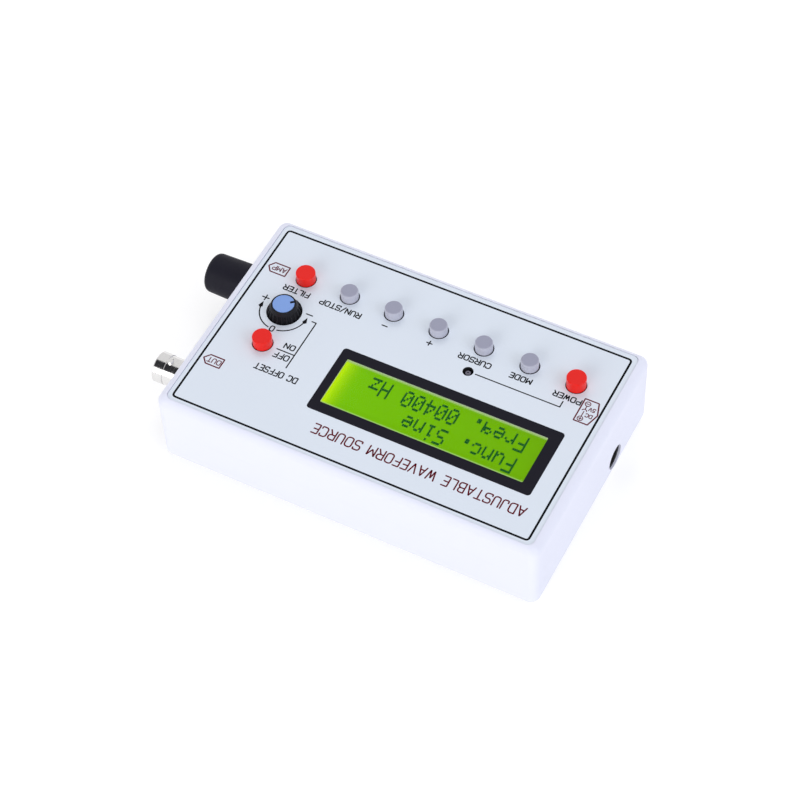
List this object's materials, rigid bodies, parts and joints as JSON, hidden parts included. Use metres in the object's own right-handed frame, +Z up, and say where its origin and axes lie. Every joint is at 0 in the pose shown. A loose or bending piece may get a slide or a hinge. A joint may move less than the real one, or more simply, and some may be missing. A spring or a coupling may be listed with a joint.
{
  "type": "function generator",
  "caption": "Hand-held function generator: a flat white case with a two-line display, push buttons, an offset knob, an amplitude knob and a coaxial output socket.",
  "frame": {"origin": "centre of the case's flat underside", "axes": "+Z up out of the panel, +X to the output socket and the amplitude knob, +Y to the title edge of the panel"},
  "size_m": [0.1377, 0.0768, 0.0313],
  "materials": {
    "case_white": "moulded ABS, satin",
    "panel_film": "printed polyester film, fine matt",
    "screw_steel": "zinc plated",
    "bezel_black": "black painted sheet metal",
    "lcd_glass": "polarised glass over a green backlight",
    "backlight": "clear light guide",
    "elastomer": "striped conductive rubber",
    "board_green": "glass-epoxy laminate with solder mask",
    "black_plastic": "moulded",
    "nylon": "nylon",
    "chip_black": "epoxy moulding",
    "crystal_can": "drawn can",
    "capacitor_sleeve": "shrink sleeve",
    "led_clear": "water-clear epoxy",
    "switch_grey": "moulded",
    "switch_stem": "moulded",
    "cap_grey": "moulded, satin",
    "cap_red": "moulded, satin",
    "spring_steel": "spring wire",
    "pot_green": "moulded",
    "pot_tan": "phenolic board and pressed can",
    "shaft_metal": "turned",
    "knob_black": "moulded",
    "amp_knob_black": "moulded, matt",
    "cap_blue": "moulded, satin",
    "nickel": "nickel plated",
    "ptfe": "fluoropolymer",
    "gold_contact": "gold plated",
    "wire_red": "insulated wire"
  },
  "bodies": {
    "body": {"top_shell": "case_white", "bottom_shell": "case_white", "panel_overlay": "panel_film", "case_screws": "screw_steel", "board_screws": "screw_steel", "lcd_bezel": "bezel_black", "lcd_glass": "lcd_glass", "lcd_backlight": "backlight", "lcd_contact_strips": "elastomer", "lcd_board": "board_green", "lcd_header": "black_plastic", "lcd_spacers": "nylon", "lcd_screws": "screw_steel", "main_board": "board_green", "microcontroller_chip": "chip_black", "signal_chips": "chip_black", "crystal": "crystal_can", "capacitors": "capacitor_sleeve", "voltage_regulator": "chip_black", "power_led": "led_clear", "tact_switch_housings": "switch_grey", "latching_switch_housings": "black_plastic", "power_spring": "spring_steel", "offset_spring": "spring_steel", "filter_spring": "spring_steel", "offset_pot_body": "pot_green", "amp_pot_body": "pot_tan", "amp_pot_bushing": "shaft_metal", "amp_pot_washer": "nickel", "amp_pot_nut": "nickel", "bnc_shell": "nickel", "bnc_insulator": "ptfe", "bnc_centre_contact": "gold_contact", "bnc_nut": "nickel", "bnc_ground_washer": "gold_contact", "dc_jack_housing": "black_plastic", "dc_jack_pin": "nickel", "dc_jack_spring": "gold_contact", "signal_leads": "wire_red"},
    "mode_button": {"mode_plunger": "switch_stem", "mode_cap": "cap_grey"},
    "cursor_button": {"cursor_plunger": "switch_stem", "cursor_cap": "cap_grey"},
    "plus_button": {"plus_plunger": "switch_stem", "plus_cap": "cap_grey"},
    "minus_button": {"minus_plunger": "switch_stem", "minus_cap": "cap_grey"},
    "run_stop_button": {"run_stop_plunger": "switch_stem", "run_stop_cap": "cap_grey"},
    "power_button": {"power_plunger": "switch_stem", "power_cap": "cap_red"},
    "offset_button": {"offset_plunger": "switch_stem", "offset_cap": "cap_red"},
    "filter_button": {"filter_plunger": "switch_stem", "filter_cap": "cap_red"},
    "offset_dial": {"offset_pot_shaft": "shaft_metal", "offset_knob": "knob_black", "offset_knob_cap": "cap_blue"},
    "amplitude_dial": {"amp_pot_shaft": "shaft_metal", "amp_knob": "amp_knob_black"}
  },
  "joints": [
    {"name": "mode_press", "type": "slide", "parent": "body", "child": "mode_button", "axis": [0, 0, -1], "range_m": [0, 0.00025], "stiffness_N_per_m": 4000, "springref_m": -0.0001},
    {"name": "cursor_press", "type": "slide", "parent": "body", "child": "cursor_button", "axis": [0, 0, -1], "range_m": [0, 0.00025], "stiffness_N_per_m": 4000, "springref_m": -0.0001},
    {"name": "plus_press", "type": "slide", "parent": "body", "child": "plus_button", "axis": [0, 0, -1], "range_m": [0, 0.00025], "stiffness_N_per_m": 4000, "springref_m": -0.0001},
    {"name": "minus_press", "type": "slide", "parent": "body", "child": "minus_button", "axis": [0, 0, -1], "range_m": [0, 0.00025], "stiffness_N_per_m": 4000, "springref_m": -0.0001},
    {"name": "run_stop_press", "type": "slide", "parent": "body", "child": "run_stop_button", "axis": [0, 0, -1], "range_m": [0, 0.00025], "stiffness_N_per_m": 4000, "springref_m": -0.0001},
    {"name": "power_press", "type": "slide", "parent": "body", "child": "power_button", "axis": [0, 0, -1], "range_m": [0, 0.002], "stiffness_N_per_m": 700, "springref_m": -0.001, "deforming": ["power_spring"]},
    {"name": "offset_press", "type": "slide", "parent": "body", "child": "offset_button", "axis": [0, 0, -1], "range_m": [0, 0.002], "stiffness_N_per_m": 700, "springref_m": -0.001, "deforming": ["offset_spring"]},
    {"name": "filter_press", "type": "slide", "parent": "body", "child": "filter_button", "axis": [0, 0, -1], "range_m": [0, 0.002], "stiffness_N_per_m": 700, "springref_m": -0.001, "deforming": ["filter_spring"]},
    {"name": "offset_turn", "type": "hinge", "parent": "body", "child": "offset_dial", "pos_m": [0.0429, -0.0065, 0.0274], "axis": [0, 0, 1], "range_deg": [-278.5, 21.5]},
    {"name": "amplitude_turn", "type": "hinge", "parent": "body", "child": "amplitude_dial", "pos_m": [0.06115, -0.0197, 0.01395], "axis": [1, 0, 0], "range_deg": [-150, 150]}
  ]
}
